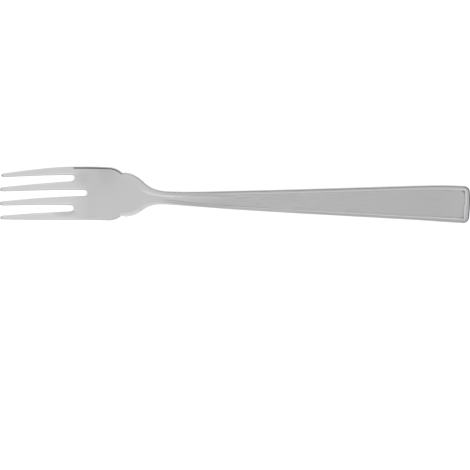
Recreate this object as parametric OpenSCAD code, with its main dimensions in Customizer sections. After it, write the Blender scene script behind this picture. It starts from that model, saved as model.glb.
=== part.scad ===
// Fish fork, stamped from one sheet of stainless steel
// The tines point to -X, the handle ends at +X, and the hollow side looks up.
// The fork lies on the plane Z = 0, on the heel of its bowl and the foot of its handle.
// Origin: on that plane, under the middle of the length and of the width.
// Positions along the fork are distances in plan, from the tips or from the handle's end.

/* [Overall] */
// Length over all, tips to handle end
overall_length = 180; // [160:1:210]

/* [Outline of the head] */
// Greatest width, over the outer tines' roots
head_w = 20.6; // [18.5:0.1:23]
// Width over the outer tines at their tips
tips_w = 17.7; // [16.8:0.1:20]
// Angle that the outer edges have at the tips to the fork's length
tips_angle = 4; // [0:0.5:8]
// From the tips to the widest point
widest_at = 28; // [18:0.5:34]
// From the tips to the notches that end the bowl
notch_at = 47.1; // [43:0.1:55]
// Width between the two notches
notch_w = 16.4; // [14:0.1:17]
// Angle that the shoulders' edge has to the fork's length where it leaves the notches
notch_angle = 12; // [5:1:30]
// Radius of the bowl's round corners, in front of the notches
lobe_r = 8.2; // [6.5:0.1:9.5]
// Width of the shoulders, behind the notches
shoulder_w = 16.6; // [15.5:0.1:18.5]
// From the notches to the widest point of the shoulders
shoulder_top_at = 1.5; // [0.8:0.1:3]
// From the notches to the steepest point of the shoulders
shoulder_mid_at = 8.5; // [6:0.1:10]
// Width at that steepest point
shoulder_mid_w = 10.2; // [8:0.1:12]
// Angle that the shoulders' edge has there to the fork's length
shoulder_angle = 39; // [25:1:50]

/* [Outline of the handle] */
// From the tips to the narrowest point of the neck
neck_at = 64.3; // [60:0.1:72]
// Width of the neck there
neck_w = 5; // [4:0.1:7]
// From the neck to the start of the handle's straight sides
taper_start_at = 26.5; // [15:0.5:35]
// Width there
taper_start_w = 7.15; // [6:0.05:9]
// From the handle's end to the end of its straight sides
taper_end_at = 11.5; // [9:0.1:20]
// Width there
taper_end_w = 14; // [11:0.1:16]
// Width just before the end's round corners
end_w = 14.3; // [12:0.1:17]
// Radius of the corners of the handle's end
corner_r = 2.1; // [1.2:0.1:3.5]
// How far the end bows outward in its middle
end_bow = 0.5; // [0:0.05:1]

/* [Tines] */
// Depth of the middle slot, from the tips
slot_l = 33.2; // [26:0.1:38]
// How much sooner the two outer slots end
outer_slot_short = 5; // [0:0.1:9]
// How far the outer tines stop short of the inner ones
outer_tip_back = 0.4; // [0:0.1:1.5]
// Width of the three slots at the tips
slot_tip_w = 3.9; // [3.2:0.05:4.3]
// Width of the three slots at their round roots
slot_root_w = 2.3; // [1.6:0.05:3]
// How much the middle slot's walls bow inward, 0 being straight
slot_bow = 0.6; // [0:0.05:0.9]
// From the fork's middle to the middle of an outer slot, at the tips
slot_tip_off = 5.45; // [5:0.05:5.8]
// The same at the outer slots' roots
slot_root_off = 5.85; // [5.2:0.05:6.4]
// Length over which a tip rounds off
tip_round = 1.6; // [0.6:0.1:2.5]

/* [Side profile, height of the underside] */
// Height of the tips
tip_h = 18.65; // [12:0.05:24]
// Angle of the tines at their tips
tip_angle = 34.7; // [25:0.1:42]
// From the tips to the heel, where the bowl rests
heel_at = 38.4; // [35:0.1:42]
// Length of the bowl's bend in front of the heel
heel_bend_l = 9.6; // [6:0.1:13]
// Height where that bend runs into the tines
heel_bend_h = 1.76; // [1.2:0.02:2.4]
// Angle of the tines there
heel_bend_angle = 16.7; // [12:0.1:21]
// From the heel to the steepest point of the rise to the neck
rise_at = 18.4; // [15:0.1:22]
// Height at that steepest point
rise_h = 5.05; // [3.5:0.05:6.5]
// Angle of the rise there
rise_angle = 22.7; // [15:0.1:30]
// From the tips to the crest, the neck's highest point
crest_at = 79; // [72:0.1:90]
// Height of the crest
crest_h = 8.9; // [6.5:0.05:12]
// From the handle's end to the bend that lifts the end
foot_bend_at = 30; // [24:0.1:40]
// Height where that bend starts
foot_bend_h = 1.5; // [0.8:0.05:2.5]
// Angle of the handle there
foot_bend_angle = 7.3; // [4:0.1:12]
// From the handle's end to the foot, where the handle rests
foot_at = 14; // [10:0.1:20]
// Length of the flat on which the foot rests
foot_flat_l = 3; // [1:0.1:4]
// Height of the handle's end
end_h = 1.9; // [1:0.05:4]
// Angle of the handle at its end
end_angle = 10; // [0:0.5:20]

/* [Sheet thickness] */
// At the tips
tip_t = 1.15; // [1:0.05:1.6]
// At the roots of the tines
root_t = 1.35; // [1.1:0.05:2]
// At the notches
bowl_t = 1.45; // [1.2:0.05:2]
// At the neck
neck_t = 1.85; // [1.5:0.05:3]
// At the slimmest part of the handle
grip_t = 1.5; // [1.3:0.05:2.5]
// From the crest to that slimmest part
grip_at = 18.5; // [8:0.5:40]
// At the foot
foot_t = 1.95; // [1.5:0.05:3]
// At the handle's end
end_t = 1.5; // [1.3:0.05:2.5]

/* [Forming] */
// Radius of the polished edges
edge_r = 0.45; // [0.2:0.01:0.48]
// How far the bowl's sides stand above its middle, at the heel
dish_h = 0.75; // [0:0.05:1.5]
// The same at the tips
tip_dish_h = 0.15; // [0:0.05:0.5]
// How far the shoulders and the neck slope down to their edges
bevel_h = 0.35; // [0.1:0.01:0.45]
// Width of that slope at the shoulders
shoulder_bevel_w = 1.5; // [1:0.05:1.9]
// Width of that slope from the neck on, where it is the handle's border
bevel_w = 1.1; // [0.8:0.05:1.2]
// How far the handle's border slopes down to its edge
border_h = 0.15; // [0.05:0.01:0.4]
// Depth of the groove in which the bowl runs out along the neck
groove_h = 0.3; // [0:0.05:0.5]
// Width of the groove's floor at the neck
groove_w = 0.7; // [0.3:0.05:1.2]
// Depth of the sunk panel in the handle, into which the groove widens
panel_h = 0.18; // [0.05:0.01:0.3]
// Length behind the neck over which the groove becomes the panel
panel_run_l = 12; // [6:0.5:40]
// From the handle's edge to the top of the step round the panel
step_top_w = 1.4; // [1.3:0.05:1.6]
// From the handle's edge to the foot of that step
step_foot_w = 1.7; // [1.65:0.05:2.1]
// How much further in that step is at the handle's end
step_end_in = 0.4; // [0:0.05:0.6]
// Length over which it moves in, up to the end's round corners
step_end_l = 25; // [10:1:40]

/* [Hidden] */

// How fast the sheet's thickness grows along the fork, at the tines, the notches and the end
TINE_TAPER = 0.005;
NOTCH_TAPER = 0.01;
END_TAPER = -0.03;

// Distance between rows of points, in each part of the fork
TINE_ROW = 3.6;
HEAD_ROW = 3;
LOBE_ROW = 1.1;
NECK_ROW = 1.5;
GRIP_ROW = 3;
HANDLE_ROW = 5;

// Angle between the rows round a slot's root, and where a tip's rounding has its middle row
ROOT_STEP = 22.5;
TIP_MIDDLE = 0.6;

// Lines of points along each tine, and the number of the last one, counted from 0
LINES = 7;
LAST = LINES - 1;

// Lengths too short to count
CLOSE = 0.02;
TINY = 0.001;
NOTHING = 0.00001;

// Slopes of the sheet, as rise over run
function slope(angle) = sin(angle) / cos(angle);

// Lines that follow an edge of the fork: on its wall, half way round its radius, and beside it
ROUND = [0, edge_r * (1 - cos(45)), edge_r];

// How far the edge's rounding pulls the surface in, at a given distance from the edge
function rounding(gap) = edge_r - sqrt(edge_r ^ 2 - (edge_r - min(gap, edge_r)) ^ 2);

// Ends of the underside, set out far enough for its leaning round edge to give the whole length
function reach(angle) = min([for (d = ROUND) d + rounding(d) * sin(angle)]);
tip_x = -overall_length / 2 - reach(tip_angle);
end_x = overall_length / 2 + reach(end_angle);
widest_x = tip_x + widest_at;
notch_x = tip_x + notch_at;
neck_x = tip_x + neck_at;
heel_x = tip_x + heel_at;
crest_x = tip_x + crest_at;
foot_x = end_x - foot_at;
root_x = tip_x + slot_l;
outer_root_x = root_x - outer_slot_short;
corner_x = end_x - corner_r;
panel_x = neck_x + panel_run_l;

// Centre of the round corner in front of each notch
lobe_y = head_w / 2 - lobe_r;
lobe_x = notch_x - sqrt(lobe_r ^ 2 - (notch_w / 2 - lobe_y) ^ 2);

// Curves are chains of knots [x, value, slope], joined by cubics
tine_edge = [
    [tip_x, tips_w / 2, slope(tips_angle)],
    [widest_x, head_w / 2, 0]
];
shoulder_edge = [
    [notch_x, notch_w / 2, slope(notch_angle)],
    [notch_x + shoulder_top_at, shoulder_w / 2, 0],
    [notch_x + shoulder_mid_at, shoulder_mid_w / 2, -slope(shoulder_angle)],
    [neck_x, neck_w / 2, 0]
];
taper_slope = (taper_end_w - taper_start_w) / 2 / (end_x - taper_end_at - neck_x - taper_start_at);
handle_edge = [
    [neck_x, neck_w / 2, 0],
    [neck_x + taper_start_at, taper_start_w / 2, taper_slope],
    [end_x - taper_end_at, taper_end_w / 2, taper_slope],
    [end_x - corner_r, end_w / 2, 0],
    [end_x, end_w / 2, 0]
];
underside = [
    [tip_x, tip_h, -slope(tip_angle)],
    [heel_x - heel_bend_l, heel_bend_h, -slope(heel_bend_angle)],
    [heel_x, 0, 0],
    [heel_x + rise_at, rise_h, slope(rise_angle)],
    [crest_x, crest_h, 0],
    [end_x - foot_bend_at, foot_bend_h, -slope(foot_bend_angle)],
    [foot_x - foot_flat_l / 2, 0, 0],
    [foot_x + foot_flat_l / 2, 0, 0],
    [end_x, end_h, slope(end_angle)]
];
thickness = [
    [tip_x, tip_t, TINE_TAPER],
    [root_x, root_t, TINE_TAPER],
    [notch_x, bowl_t, NOTCH_TAPER],
    [neck_x, neck_t, 0],
    [crest_x + grip_at, grip_t, 0],
    [foot_x, foot_t, 0],
    [end_x, end_t, END_TAPER]
];
dish = [
    [tip_x, tip_dish_h, 0],
    [heel_x, dish_h, 0],
    [neck_x, 0, 0],
    [end_x, 0, 0]
];

function mix(a, b, u) = a + (b - a) * u;
function limit(u) = max(0, min(1, u));
function ease(u) = limit(u) ^ 2 * (3 - 2 * limit(u));

function link(knots, x, i = 0) =
    i >= len(knots) - 2 || x < knots[i + 1][0] ? i : link(knots, x, i + 1);
function along(knots, x) =
    let (i = link(knots, x), a = knots[i], b = knots[i + 1], l = b[0] - a[0], u = limit((x - a[0]) / l))
    a[1] * (1 + 2 * u) * (1 - u) ^ 2 + a[2] * l * u * (1 - u) ^ 2
    + b[1] * u ^ 2 * (3 - 2 * u) - b[2] * l * u ^ 2 * (1 - u);
function along_slope(knots, x) =
    let (i = link(knots, x), a = knots[i], b = knots[i + 1], l = b[0] - a[0], u = limit((x - a[0]) / l))
    6 * u * (1 - u) * (b[1] - a[1]) / l + a[2] * (1 - u) * (1 - 3 * u) - b[2] * u * (2 - 3 * u);

// Half the width of the outline, and its slope
function half_w(x) =
    x < widest_x ? along(tine_edge, x)
    : x < lobe_x ? head_w / 2
    : x < notch_x ? lobe_y + sqrt(lobe_r ^ 2 - (x - lobe_x) ^ 2)
    : x < neck_x ? along(shoulder_edge, x)
    : along(handle_edge, x);
function edge_slope(x) =
    x < widest_x ? along_slope(tine_edge, x)
    : x < lobe_x ? 0
    : x < notch_x ? -(x - lobe_x) / sqrt(lobe_r ^ 2 - (x - lobe_x) ^ 2)
    : x < neck_x ? along_slope(shoulder_edge, x)
    : along_slope(handle_edge, x);

// What a distance square to the outline's edge measures across the fork
function across(x) = sqrt(1 + edge_slope(x) ^ 2);

// How much of its full half width a round end has, at a given part of its radius from its middle
function arc_share(back) = back > 1 - NOTHING ? 0 : sqrt(1 - max(0, back) ^ 2);

// Half the width of a slot with its root at x_root, measured to the line d beside its wall
function slot_half(x, x_root, bow, d) =
    let (
        u = limit((x - tip_x) / (x_root - tip_x)),
        wall = mix(slot_tip_w, slot_root_w, u * (1 + bow * (1 - u))) / 2,
        r = slot_root_w / 2
    )
    (wall + d) * arc_share((r - (x_root - x)) / (r + d));

// How much of a tine's width the rounding of its tip leaves, for the line d beside its edge
function tip_share(x, d) = arc_share((tip_round - (x - tip_x)) / (tip_round - d));

// 0 on the bowl, 1 from the neck on, where lines keep their distance from the handle's edge
function shoulder_share(x) = ease((x - notch_x) / (neck_x - notch_x));

// 0 at the neck, 1 where the groove has become the panel
function panel_share(x) = ease((x - neck_x) / panel_run_l);

// How far the step round the panel has moved in towards the handle's end
function step_in(x) = step_end_in * ease((x - end_x + step_end_l) / (step_end_l - corner_r));

// Where the slope beside the edge starts, where the groove and the panel start, and their floor
function bevel_line(x) =
    half_w(x) - mix(shoulder_bevel_w, bevel_w, shoulder_share(x)) * (x < notch_x ? 1 : across(x));
function step_top(x) = half_w(x) - step_in(x) - step_top_w * (x < notch_x ? 1 : across(x));
function step_foot(x) = mix(groove_w / 2, half_w(x) - step_in(x) - step_foot_w, panel_share(x));

// The middle of an outer slot, and the line that goes on from its root to the handle's step
function slot_mid(x) =
    x < outer_root_x
    ? mix(slot_tip_off, slot_root_off, (x - tip_x) / (outer_root_x - tip_x))
    : mix(slot_root_off * half_w(x) / half_w(outer_root_x), step_top(x), shoulder_share(x));

// Distance from the middle line, for line k of tine t (0 is the outer one, 1 the inner)
// Lines 0, 1 and 2 follow a tine's outer edge, 3 its middle, and 4, 5 and 6 its inner edge.
function outer_line(x, k) = half_w(x) - ROUND[k] * across(x);
function line_y(x, t, k) =
    t == 0 && k < 3 ? outer_line(x, k)
    : t == 0 && k > 3 ? slot_mid(x) + slot_half(x, outer_root_x, 0, ROUND[LAST - k])
    : t == 0 ? mix(
        (outer_line(x, 2) + line_y(x, 0, 4)) / 2,
        bevel_line(x),
        ease((x - outer_root_x) / (notch_x - outer_root_x)))
    : k < 3 ? slot_mid(x) - slot_half(x, outer_root_x, 0, ROUND[k])
    : k > 3 ? slot_half(x, root_x, slot_bow, ROUND[LAST - k])
    : mix((line_y(x, 1, 2) + line_y(x, 1, 4)) / 2, step_foot(x), shoulder_share(x));

// The same line, drawn in to the middle of its tine by the rounding of the tip
function tine_y(x, t, k) =
    let (
        y = line_y(x, t, k),
        middle = (line_y(x, t, 0) + line_y(x, t, LAST)) / 2,
        d = k == 3 ? 0 : ROUND[min(k, LAST - k)]
    )
    x - tip_x < tip_round ? mix(middle, y, k == 3 ? 0 : tip_share(x, d)) : y;

// Distance in plan from the nearest edge, as far as the rounding of the edges needs it
function edge_gap(x, t, k) =
    min(
        x - tip_x,
        end_x - x,
        t == 0 && k < 3 ? ROUND[k]
        : k == 3 ? edge_r
        : t == 1 && k > 3 ? max(ROUND[LAST - k], x - root_x)
        : max(ROUND[min(k, LAST - k)], x - outer_root_x)
    );

// Height of the slope beside the edge: none on the bowl, then the shoulders', then the border's
function slope_h(x) =
    x < notch_x ? 0
    : mix(bevel_h * ease((x - notch_x) / shoulder_top_at), border_h, panel_share(x));
function slope_drop(x, t, k) =
    let (gap = min(end_x - x, t == 0 && k < 3 ? ROUND[k] : bevel_w))
    slope_h(x) * (1 - gap / bevel_w) * (gap < bevel_w ? 1 : 0);

// Depth of the groove, which starts behind the notches, and of the panel
function sunk(x, t, k) =
    t == 1 && k >= 3 && end_x - x > step_foot_w + step_in(x) - TINY
    ? ease((x - notch_x) / shoulder_mid_at) * mix(groove_h, panel_h, panel_share(x))
    : 0;
function top_h(x, t, k) =
    along(thickness, x) - rounding(edge_gap(x, t, k)) - slope_drop(x, t, k) - sunk(x, t, k);

// A point of the square grid near the handle's end, moved onto the round corner
function cornered(x, y) =
    let (
        from_end = end_x - x,
        from_side = half_w(x) - y,
        inset = min(from_end, from_side),
        r = corner_r - inset,
        s = abs(from_end - from_side),
        turn = from_end > from_side ? 45 * (1 + s / r) : 45 * (1 - s / r)
    )
    r > 0 && s < r
    ? [corner_x + r * cos(turn), half_w(corner_x) - corner_r + r * sin(turn)]
    : [x, y];

// A point of the sheet, h above its underside and square to it
function placed(x, y, side, h) =
    let (
        p = cornered(x, y),
        bow = end_bow * (p[1] / half_w(corner_x)) ^ 2 * limit(1 - (end_x - p[0]) / taper_end_at),
        px = p[0] - bow,
        lean = atan(along_slope(underside, px)),
        rim = along(dish, px) * (p[1] / (head_w / 2)) ^ 2
    )
    [px - h * sin(lean), side * p[1] + 0, along(underside, px) + rim + h * cos(lean)];

// Rows: stations along the fork, closer together where the outline turns
edge_rows = concat(
    [for (u = ROUND) tip_x + u],
    [for (x = [outer_root_x, root_x]) for (a = [0:ROOT_STEP:90]) x - (1 - sin(a)) * slot_root_w / 2],
    [for (x = [outer_root_x, root_x]) for (u = [ROUND[1], ROUND[2]]) x + u],
    [for (u = concat(ROUND, [bevel_w, step_top_w + step_end_in, step_foot_w + step_end_in])) end_x - u]
);
other_rows = [
    tip_x + tip_round * TIP_MIDDLE, tip_x + tip_round,
    widest_x, lobe_x, notch_x, notch_x + shoulder_top_at, notch_x + shoulder_mid_at, neck_x,
    heel_x, crest_x, foot_x - foot_flat_l / 2, foot_x + foot_flat_l / 2, corner_x
];
fixed_rows = concat(
    edge_rows,
    [for (x = other_rows) if (min([for (e = edge_rows) abs(x - e)]) > CLOSE) x]
);
function row_gap(x) =
    x < outer_root_x ? TINE_ROW
    : x < lobe_x ? HEAD_ROW
    : x < notch_x ? LOBE_ROW
    : x < panel_x ? NECK_ROW
    : x < crest_x + grip_at ? GRIP_ROW
    : HANDLE_ROW;
function sorted(v) =
    len(v) < 2 ? v
    : let (m = v[floor(len(v) / 2)])
    concat(sorted([for (a = v) if (a < m - TINY) a]), [m], sorted([for (a = v) if (a > m + TINY) a]));
function filled(v) = [
    for (i = [0:len(v) - 2])
        let (gap = v[i + 1] - v[i], n = ceil(gap / row_gap((v[i] + v[i + 1]) / 2)))
        for (s = [0:n - 1]) v[i] + gap * s / n,
    v[len(v) - 1]
];
rows = filled(sorted(fixed_rows));

// Columns: the lines on each of the four tines, from the +Y side to the -Y side
tine_lines = [
    for (t = [0, 1]) for (k = [0:LAST]) [t, k, 1],
    for (t = [1, 0]) for (k = [LAST:-1:0]) [t, k, -1]
];
COLUMNS = len(tine_lines);
ROWS = len(rows);

// The outer tines' rows start a little later than the inner ones' and catch up by their roots
function row_x(x, t) =
    x + (t == 0 ? outer_tip_back * limit((outer_root_x - x) / (outer_root_x - tip_x)) : 0);

// Each grid point has a top point, with an even number, and then a bottom point
points = [
    for (x = rows) for (c = tine_lines)
        let (
            y = tine_y(x, c[0], c[1]),
            px = row_x(x, c[0]),
            low = rounding(edge_gap(x, c[0], c[1]))
        )
        each [placed(px, y, c[2], top_h(x, c[0], c[1])), placed(px, y, c[2], low)]
];
function top(i, j) = 2 * (i * COLUMNS + j);
function bottom(i, j) = top(i, j) + 1;

// A four-sided patch as two triangles, without those that have no area
// Its diagonal is mirrored from one side of the fork to the other.
function same(a, b) = norm(points[a] - points[b]) < NOTHING;
function triangle(a, b, c) = same(a, b) || same(b, c) || same(a, c) ? [] : [[a, b, c]];
function patch(j, a, b, c, d) =
    2 * j < COLUMNS
    ? concat(triangle(a, b, c), triangle(a, c, d))
    : concat(triangle(b, c, d), triangle(b, d, a));

// A slot's wall ends at its root, and the gap from one tine's last line to the next has no patch
function has_wall(i, j) =
    let (t = tine_lines[j][0], k = tine_lines[j][1])
    t == 0 && k == 0 ? true
    : t == 1 && k == LAST ? rows[i] < root_x - TINY
    : rows[i] < outer_root_x - TINY;
first_lines = [for (j = [0:LINES:COLUMNS - 1]) j];
last_lines = [for (j = [LAST:LINES:COLUMNS - 1]) j];
strips = [for (j = [0:COLUMNS - 2]) if (j % LINES != LAST) j];
faces = [
    for (i = [0:ROWS - 2]) for (j = strips) each concat(
        patch(j, top(i, j), top(i + 1, j), top(i + 1, j + 1), top(i, j + 1)),
        patch(j, bottom(i, j), bottom(i, j + 1), bottom(i + 1, j + 1), bottom(i + 1, j))
    ),
    for (i = [0:ROWS - 2]) for (j = first_lines) if (has_wall(i, j)) each
        patch(j, top(i, j), bottom(i, j), bottom(i + 1, j), top(i + 1, j)),
    for (i = [0:ROWS - 2]) for (j = last_lines) if (has_wall(i, j)) each
        patch(j, top(i, j), top(i + 1, j), bottom(i + 1, j), bottom(i, j)),
    for (j = strips) each
        patch(j, top(ROWS - 1, j + 1), top(ROWS - 1, j), bottom(ROWS - 1, j), bottom(ROWS - 1, j + 1))
];

module fork() {
    color("silver") polyhedron(points, faces, convexity = 8);
}

fork();
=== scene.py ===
# %% [markdown]
# # A fish fork, stamped from one sheet of steel
#
# The object is one piece of stainless steel: four tines, a shallow bowl with notched
# shoulders, a slim grooved neck and a handle that widens to a square end with a bordered
# panel. A maker cuts a flat blank, presses the border and the groove into it, bends it in
# a die and polishes it. This lesson does the same: a flat blank is drawn with plain sums,
# and a Geometry Nodes tree is the die that bends it.
#
# Blender works in metres here, and the fork's own sizes are written in millimetres, as a
# maker would write them. MM turns one into the other.

from functools import partial

import bmesh
import bpy
import numpy as np
from mathutils import Matrix, Vector


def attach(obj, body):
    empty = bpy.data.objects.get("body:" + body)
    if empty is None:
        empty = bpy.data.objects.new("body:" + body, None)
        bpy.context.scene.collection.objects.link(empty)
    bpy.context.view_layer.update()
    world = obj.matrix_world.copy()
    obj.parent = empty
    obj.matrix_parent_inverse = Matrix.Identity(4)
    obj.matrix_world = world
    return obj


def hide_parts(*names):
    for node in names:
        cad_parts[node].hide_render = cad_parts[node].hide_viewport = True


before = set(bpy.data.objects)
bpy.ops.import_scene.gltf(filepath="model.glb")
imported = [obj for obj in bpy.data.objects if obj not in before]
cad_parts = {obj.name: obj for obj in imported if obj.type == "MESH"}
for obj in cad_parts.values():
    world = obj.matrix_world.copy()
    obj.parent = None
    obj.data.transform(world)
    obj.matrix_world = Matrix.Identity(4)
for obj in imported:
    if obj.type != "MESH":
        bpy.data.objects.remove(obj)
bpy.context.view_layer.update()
MM = 0.001

# %% [markdown]
# ## Smooth curves from a few sizes
#
# The fork's outline, its side profile and its thickness all change smoothly along its
# length. Each is written as a short chain of knots, [place, value, slope], and a cubic
# joins each knot to the next. That needs few numbers, never wobbles between the knots,
# and works on a whole grid of points at once, because numpy does the sums.

# %% Chains of knots
def slope(angle):
    return np.tan(np.radians(angle))


def along(knots, x):
    """Value and slope of a chain at the places x."""
    k = np.array(knots, float)
    i = np.clip(np.searchsorted(k[:, 0], x, side="right") - 1, 0, len(k) - 2)
    a, b = k[i], k[i + 1]
    length = b[..., 0] - a[..., 0]
    u = np.clip((x - a[..., 0]) / length, 0, 1)
    value = (
        a[..., 1] * (1 + 2 * u) * (1 - u) ** 2
        + a[..., 2] * length * u * (1 - u) ** 2
        + b[..., 1] * u**2 * (3 - 2 * u)
        - b[..., 2] * length * u**2 * (1 - u)
    )
    rate = (
        6 * u * (1 - u) * (b[..., 1] - a[..., 1]) / length
        + a[..., 2] * (1 - u) * (1 - 3 * u)
        - b[..., 2] * u * (2 - 3 * u)
    )
    return value, rate


def mix(a, b, u):
    return a + (b - a) * u


def ease(u):
    u = np.clip(u, 0, 1)
    return u * u * (3 - 2 * u)


# %% [markdown]
# ## The polished edge
#
# Every edge of the sheet is rounded by polishing. The grid of the blank gets a few lines
# beside each edge, closer together towards the wall, and the surface drops along them in
# a quarter circle. The first and last rows start a little outside the nominal ends, so
# that the leaning round edges reach exactly the length of the fork.

# %% Edge lines and the two ends
overall_length = 180
edge_r = 0.45
tip_angle = 34.7
end_angle = 10
EDGE_LINES = 6
edge_turn = np.radians(np.linspace(0, 90, EDGE_LINES))
ROUND = edge_r * (1 - np.cos(edge_turn))


def rounding(gap):
    """How far the round edge lies under the flat of the sheet, gap from the wall."""
    return edge_r - np.sqrt(np.maximum(0, edge_r**2 - (edge_r - np.clip(gap, 0, edge_r)) ** 2))


def reach(angle):
    """How far a round edge stops short of its last row, where the sheet leans by angle."""
    return np.min(ROUND + rounding(ROUND) * np.sin(np.radians(angle)))


tip_x = -overall_length / 2 - reach(tip_angle)
end_x = overall_length / 2 + reach(end_angle)
print("edge lines at", ROUND.round(3), "mm from the wall")

# %% [markdown]
# ## The outline
#
# Seen from above, the outer tines widen the head slowly to its greatest width, a round
# corner leads in to a notch on each side, the shoulders start a little wider than the
# notch and sweep in to the neck, and the handle widens in two straight lines. Most of
# these are the CAD model's sizes. The notch, the shoulders, the neck and the handle are up
# to 0.2 mm wider on each side, which brings them closer to the edges in the photo.

# %% Half the width along the fork
head_w, tips_w, tips_angle = 20.6, 17.7, 4
widest_x = tip_x + 28
notch_x, notch_w, notch_angle = tip_x + 47.1, 16.7, 12
lobe_r = 8.2
shoulder_w, shoulder_top_at = 16.9, 1.5
shoulder_mid_at, shoulder_mid_w, shoulder_angle = 8.5, 10.6, 39
neck_x, neck_w = tip_x + 64.3, 5.3
taper_start_at, taper_start_w = 26.5, 7.35
taper_end_at, taper_end_w = 11.5, 14.1
end_w, corner_r, end_bow = 14.4, 2.1, 0.5
corner_x = end_x - corner_r

lobe_y = head_w / 2 - lobe_r
lobe_x = notch_x - np.sqrt(lobe_r**2 - (notch_w / 2 - lobe_y) ** 2)
taper_start_x, taper_end_x = neck_x + taper_start_at, end_x - taper_end_at
taper_slope = (taper_end_w - taper_start_w) / 2 / (taper_end_x - taper_start_x)
tine_edge = [[tip_x, tips_w / 2, slope(tips_angle)], [widest_x, head_w / 2, 0]]
body_edge = [
    [notch_x, notch_w / 2, slope(notch_angle)],
    [notch_x + shoulder_top_at, shoulder_w / 2, 0],
    [notch_x + shoulder_mid_at, shoulder_mid_w / 2, -slope(shoulder_angle)],
    [neck_x, neck_w / 2, 0],
    [taper_start_x, taper_start_w / 2, taper_slope],
    [taper_end_x, taper_end_w / 2, taper_slope],
    [corner_x, end_w / 2, 0],
    [end_x, end_w / 2, 0],
]


def outline(x):
    """Half the fork's width at x, and the slope of its edge."""
    tine, tine_rate = along(tine_edge, x)
    body, body_rate = along(body_edge, x)
    back = np.clip(x - lobe_x, 0, notch_x - lobe_x)
    drop = np.sqrt(lobe_r**2 - back**2)
    lobe, lobe_rate = lobe_y + drop, -back / drop
    width = np.where(x < widest_x, tine, np.where(x < notch_x, lobe, body))
    rate = np.where(x < widest_x, tine_rate, np.where(x < notch_x, lobe_rate, body_rate))
    return width, rate


for name, x in [("widest", widest_x), ("notch", notch_x), ("neck", neck_x), ("end", corner_x)]:
    print(f"width at the {name}: {2 * float(outline(np.array(x))[0]):.2f} mm")

# %% [markdown]
# ## The slots between the tines
#
# Three slots part the four tines. They narrow towards their roots, where they end in a
# half circle, and the two outer ones end sooner than the middle one. A line that keeps a
# distance d from a slot's wall runs round the root on a larger half circle, so every edge
# line stays parallel to the wall all the way round. Behind the root the lines of both
# sides would meet; there they fan out again and serve the bowl and the handle.

# %% Slots, tips and the step lines of the handle
slot_l, outer_slot_short, outer_tip_back = 33.25, 5, 0.4
slot_tip_w, slot_root_w, slot_bow = 3.9, 2.36, 0.6
slot_tip_off, slot_root_off = 5.45, 5.85
tip_round = 1.6
root_x = tip_x + slot_l
outer_root_x = root_x - outer_slot_short
shoulder_bevel_w, bevel_w = 1.5, 1.1
step_top_w, step_foot_w = 1.4, 1.7
step_end_in, step_end_l = 0.4, 25
groove_w, panel_run_l = 0.7, 12


def arc_share(back):
    """Height of a quarter circle, from 1 at its top to 0 where it ends."""
    return np.sqrt(np.maximum(0, 1 - np.clip(back, 0, 1) ** 2))


def slot_half(x, slot_root_x, bow, d):
    """Half the width of a slot, out to the line that is d beside its wall."""
    u = np.clip((x - tip_x) / (slot_root_x - tip_x), 0, 1)
    wall = mix(slot_tip_w, slot_root_w, u * (1 + bow * (1 - u))) / 2
    r = slot_root_w / 2
    return (wall + d) * arc_share((r - (slot_root_x - x)) / (r + d))


def tip_share(x, d):
    """How much of a tine's width is left in its round tip, on the line d beside its edge."""
    return arc_share((tip_round - (x - tip_x)) / (tip_round - d))


def shoulder_share(x):
    return ease((x - notch_x) / (neck_x - notch_x))


def panel_share(x):
    return ease((x - neck_x) / panel_run_l)


def step_in(x):
    """How much further in the border's step lies towards the handle's end."""
    return step_end_in * ease((x - end_x + step_end_l) / (step_end_l - corner_r))


def across(x):
    """How far in y one millimetre square to the slanting edge reaches."""
    return np.sqrt(1 + outline(x)[1] ** 2)


def step_top(x):
    """Half the width of the groove and the panel at their rim."""
    on_handle = outline(x)[0] - step_in(x) - step_top_w * np.where(x < notch_x, 1, across(x))
    root_half = outline(np.array(outer_root_x))[0]
    on_head = slot_root_off * outline(x)[0] / root_half
    return mix(on_head, on_handle, shoulder_share(x))


def step_foot(x):
    """Half the width of the floor of the groove and the panel."""
    on_handle = mix(groove_w / 2, outline(x)[0] - step_in(x) - step_foot_w, panel_share(x))
    return mix(step_top(x) / 2, on_handle, shoulder_share(x))


def slot_mid(x):
    """The middle line of an outer slot, which behind its root becomes the rim's line."""
    u = (x - tip_x) / (outer_root_x - tip_x)
    return np.where(x < outer_root_x, mix(slot_tip_off, slot_root_off, u), step_top(x))


print(f"slots end {outer_slot_short} mm apart, {slot_root_w} mm wide at their roots")

# %% [markdown]
# ## The grid of lines
#
# Each tine carries the same number of lines along the fork: edge lines on both sides and
# inner lines between them. On the handle the same lines become the ridge of the border,
# the step inside it and the floor of the panel. One rule for all of them gives one
# continuous sheet, so light slides over it without a seam.

# %% Lines along the fork
def wider(x):
    """How much wider the round outer edge is than the edges of the tines."""
    return mix(1, 1.45, ease((x - outer_root_x + 3) / 6))


INNER_LINES = 5
LINES = 2 * EDGE_LINES + INNER_LINES
LAST = LINES - 1
rim_inset = np.array([0.85, 1.0, 1.12, 1.26, 1.37, 1.45, 1.52, 1.59, 1.66, 1.73, 1.82])
rim_spread = 0.22
FLOOR_LINES = INNER_LINES + EDGE_LINES


def fanned(x, n, d, side):
    """A slot's edge line, which fans out behind the root and follows line n of the panel's rim."""
    from_middle = (len(rim_inset) - 1) / 2 - n
    fan = rim_spread * from_middle * ease((x - outer_root_x - edge_r) / 6)
    loose = slot_mid(x) + side * slot_half(x, outer_root_x, 0, d) + fan
    target = outline(x)[0] - step_in(x) - rim_inset[n] * across(x)
    return mix(loose, target, shoulder_share(x))


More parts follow.
